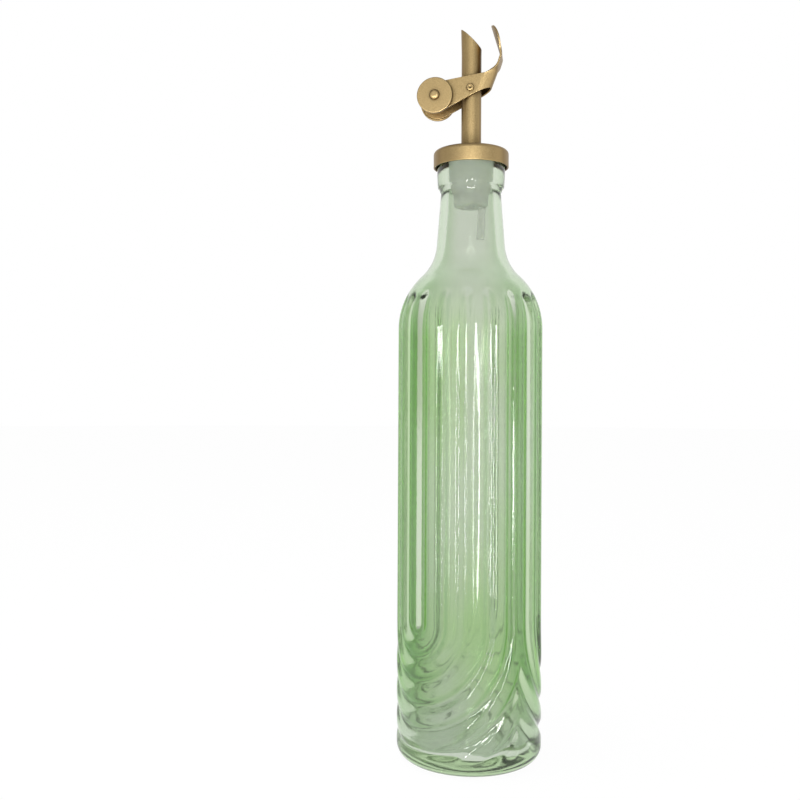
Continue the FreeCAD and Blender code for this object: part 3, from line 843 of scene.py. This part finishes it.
def growTongue(bm, topRow, sizes):
    leafLean = radians(sizes["leafLean"])
    arms = sizes["armColumns"]
    bends = sizes["bendColumns"]
    turns = []
    verts = []
    for column in sorted(topRow):
        turn = 90 - 180 * (column - arms) / bends
        if abs(turn) <= sizes["shoulderTurn"]:
            turns.append(turn)
            verts.append(topRow[column])
    edge = max(turns)
    half = sizes["halfGap"]
    startZ = armHigh(sizes["bendCentre"] + half + sizes["tongueFoot"], sizes)
    for spot, past in tongueRows(sizes):
        edges = [bm.edges.get((first, second)) for first, second in zip(verts, verts[1:])]
        made = bmesh.ops.extrude_edge_only(bm, edges=edges)["geom"]
        grown = {}
        for vert in [item for item in made if isinstance(item, bmesh.types.BMVert)]:
            for side in vert.link_edges:
                other = side.other_vert(vert)
                if other in verts:
                    grown[other] = vert
        verts = [grown[vert] for vert in verts]
        rise = spot.y - startZ
        drawnIn = max(0.0, 1 - rise / sizes["filletRise"]) ** 2
        narrow = sizes["tongueTurn"] + (edge - sizes["tongueTurn"]) * drawnIn
        flat = ease((rise + 1.5) / 5.5)
        for vert, turn in zip(verts, turns):
            share = turn / edge
            turned = radians(narrow) * share
            curved = Vector((-half * (1 - cos(turned)), half * sin(turned)))
            wide = leafHalf(past, sizes) if past else sizes["stemHalf"]
            level = Vector((0, wide * share))
            offset = curved.lerp(level, flat)
            bow = roundTip(past, wide * share, wide, sizes)
            curl = sizes["curl"] * (offset.y / sizes["leafRadius"]) ** 2 * ease(past / sizes["curlFrom"])
            x = spot.x + offset.x + curl - bow * sin(leafLean)
            z = spot.y + sizes["curlRise"] * curl + bow * cos(leafLean)
            vert.co = Vector((x, offset.y, z))


makeLever(lever)


# counterweights and rivets

weight = {
    "back": -16.0,
    "drop": -3.1,
    "face": 5.6,
    "radius": 8.05,
    "thickness": 1.6,
    "rim": 0.35,
    "rivetRadius": 1.18,
    "holeSlack": 0.02,
    "headRadius": 2.3,
    "headHeight": 1.5,
    "tailRadius": 1.9,
    "tailHeight": 0.6,
    "armInside": 4.8,
}


def makeWeight(side, sizes):
    low = sizes["face"]
    high = low + sizes["thickness"]
    hole = sizes["rivetRadius"] + sizes["holeSlack"]
    bm = bmesh.new()
    roundedLine(bm, [
        (hole, low, 0),
        (sizes["radius"], low, sizes["rim"]),
        (sizes["radius"], high, sizes["rim"]),
        (hole, high, 0),
        (hole, low, 0),
    ])
    spinRound(bm, 96)
    laySideways(bm, side, sizes["back"], pivotHeight + sizes["drop"])
    evenShading(finishPiece(bm, "Weight." + side, "lid", "weight_" + side, satinGold))


def makeWeightRivet(side, sizes):
    seat = sizes["face"] + sizes["thickness"]
    inside = sizes["armInside"]
    bm = bmesh.new()
    roundedLine(bm, [
        (0, inside - sizes["tailHeight"], 0),
        (sizes["tailRadius"], inside - sizes["tailHeight"], 0.2),
        (sizes["tailRadius"], inside, 0),
        (sizes["rivetRadius"], inside, 0),
        (sizes["rivetRadius"], seat, 0),
        (sizes["headRadius"], seat, 0.15),
        (sizes["headRadius"], seat + sizes["headHeight"], 1.3),
        (0, seat + sizes["headHeight"], 0),
    ], segments=10)
    spinRound(bm, 48)
    laySideways(bm, side, sizes["back"], pivotHeight + sizes["drop"])
    finishPiece(bm, "WeightRivet." + side, "lid", "weight_rivet_" + side, satinGold)


pivot = {
    "radius": 1.0,
    "innerEnd": 3.3,
    "seat": 5.7,
    "headRadius": 1.6,
    "headHeight": 0.8,
    "dimple": 0.7,
}


def makePivotRivet(side, sizes):
    top = sizes["seat"] + sizes["headHeight"]
    bm = bmesh.new()
    roundedLine(bm, [
        (0, sizes["innerEnd"], 0),
        (sizes["radius"], sizes["innerEnd"], 0.15),
        (sizes["radius"], sizes["seat"], 0),
        (sizes["headRadius"], sizes["seat"], 0.1),
        (sizes["headRadius"], top, 0.4),
        (sizes["dimple"], top, 0.15),
        (0, top - sizes["dimple"], 0),
    ])
    spinRound(bm, 48)
    laySideways(bm, side, 0, pivotHeight)
    finishPiece(bm, "PivotRivet." + side, "head", "pivot_rivet_" + side, satinGold)


for side in ("left", "right"):
    makeWeight(side, weight)
    makeWeightRivet(side, weight)
    makePivotRivet(side, pivot)


# studio: pale floor, a soft lamp above and a ring of light round the camera

studio = {
    "floorSize": 6.0,
    "floorColour": (0.9, 0.9, 0.9),
    "floorGlow": 0.97,
    "ringRadius": 0.135,
    "ringWidth": 0.014,
    "ringDrop": 0.070,       # the lamp's middle is below the lens
    "ringPower": 45.0,
    "room": 0.35,            # how bright the room behind the camera looks in glass and metal
    "fill": 0.7,
    "lampPlace": (-0.3, -0.2, 1.3),
    "lampSize": 0.8,
    "lampPower": 10.0,
    "aimHeight": 0.16,
}


def makeFloor(sizes):
    bm = bmesh.new()
    bmesh.ops.create_circle(bm, cap_ends=True, segments=96, radius=sizes["floorSize"])
    mesh = bpy.data.meshes.new("StudioFloor")
    bm.to_mesh(mesh)
    bm.free()
    floor = bpy.data.objects.new("StudioFloor", mesh)
    stageScene.collection.objects.link(floor)
    material, nodes, links = newMaterial("PaleFloor")
    shader = nodes["Principled BSDF"]
    shader.inputs["Base Color"].default_value = (*sizes["floorColour"], 1)
    shader.inputs["Roughness"].default_value = 0.9
    shader.inputs["Specular IOR Level"].default_value = 0.0
    glow = nodes.new("ShaderNodeEmission")
    path = nodes.new("ShaderNodeLightPath")
    seen = addSeenRays(nodes, links, path)
    dimmed = nodes.new("ShaderNodeMath")
    dimmed.operation = "MULTIPLY"
    dimmed.inputs[1].default_value = sizes["floorGlow"]
    links.new(seen, dimmed.inputs[0])
    mix = nodes.new("ShaderNodeMixShader")
    links.new(dimmed.outputs[0], mix.inputs["Fac"])
    links.new(shader.outputs["BSDF"], mix.inputs[1])
    links.new(glow.outputs["Emission"], mix.inputs[2])
    links.new(mix.outputs["Shader"], nodes["Material Output"].inputs["Surface"])
    mesh.materials.append(material)


def addSeenRays(nodes, links, path):
    # 1 for camera, glossy and transmission rays, 0 for the rays that light things
    total = path.outputs["Is Camera Ray"]
    for name in ("Is Glossy Ray", "Is Transmission Ray"):
        either = nodes.new("ShaderNodeMath")
        either.operation = "MAXIMUM"
        links.new(total, either.inputs[0])
        links.new(path.outputs[name], either.inputs[1])
        total = either.outputs[0]
    return total


def makeWorld(sizes):
    world = bpy.data.worlds.new("WhiteStudio")
    world.use_nodes = True
    stageScene.world = world
    nodes = world.node_tree.nodes
    links = world.node_tree.links
    background = nodes["Background"]
    path = nodes.new("ShaderNodeLightPath")
    seen = addSeenRays(nodes, links, path)
    direction = nodes.new("ShaderNodeTexCoord").outputs["Generated"]
    parts = nodes.new("ShaderNodeSeparateXYZ")
    links.new(direction, parts.inputs["Vector"])
    behind = addRange(nodes, links, parts.outputs["Y"], sizes["room"], 1, -0.25, 0.35)
    lit = addBlend(nodes, links, seen, sizes["fill"], behind)
    shown = addBlend(nodes, links, path.outputs["Is Camera Ray"], lit, 1.0)
    links.new(shown, background.inputs["Color"])


def addBlend(nodes, links, share, first, second):
    blend = nodes.new("ShaderNodeMix")
    links.new(share, blend.inputs["Factor"])
    for socket, value in ((blend.inputs["A"], first), (blend.inputs["B"], second)):
        if isinstance(value, float):
            socket.default_value = value
        else:
            links.new(value, socket)
    return blend.outputs["Result"]


def makeRingLight(sizes):
    bm = bmesh.new()
    bmesh.ops.create_circle(bm, segments=96, radius=sizes["ringRadius"])
    outer = bm.edges[:]
    made = bmesh.ops.extrude_edge_only(bm, edges=outer)["geom"]
    inner = [item for item in made if isinstance(item, bmesh.types.BMVert)]
    share = 1 - sizes["ringWidth"] / sizes["ringRadius"]
    bmesh.ops.scale(bm, verts=inner, vec=(share, share, 1))
    mesh = bpy.data.meshes.new("RingLight")
    bm.to_mesh(mesh)
    bm.free()
    ring = bpy.data.objects.new("RingLight", mesh)
    stageScene.collection.objects.link(ring)
    ring.matrix_world = stageScene.camera.matrix_world @ Matrix.Translation((0, -sizes["ringDrop"], 0))
    material, nodes, links = newMaterial("RingGlow")
    nodes.remove(nodes["Principled BSDF"])
    glow = nodes.new("ShaderNodeEmission")
    glow.inputs["Strength"].default_value = sizes["ringPower"]
    links.new(glow.outputs["Emission"], nodes["Material Output"].inputs["Surface"])
    mesh.materials.append(material)
    ring.visible_camera = False


def makeTopLamp(sizes):
    data = bpy.data.lights.new("TopLamp", "AREA")
    data.shape = "DISK"
    data.size = sizes["lampSize"]
    data.energy = sizes["lampPower"]
    lamp = bpy.data.objects.new("TopLamp", data)
    lamp.location = sizes["lampPlace"]
    aim = Vector((0, 0, sizes["aimHeight"])) - lamp.location
    lamp.rotation_euler = aim.to_track_quat("-Z", "Y").to_euler()
    lamp.visible_glossy = False
    lamp.visible_transmission = False
    stageScene.collection.objects.link(lamp)


makeFloor(studio)
makeWorld(studio)
makeRingLight(studio)
makeTopLamp(studio)

stageScene.view_settings.view_transform = "Standard"
stageScene.cycles.max_bounces = 24
stageScene.cycles.transmission_bounces = 20
stageScene.cycles.glossy_bounces = 8
print("studio ready")
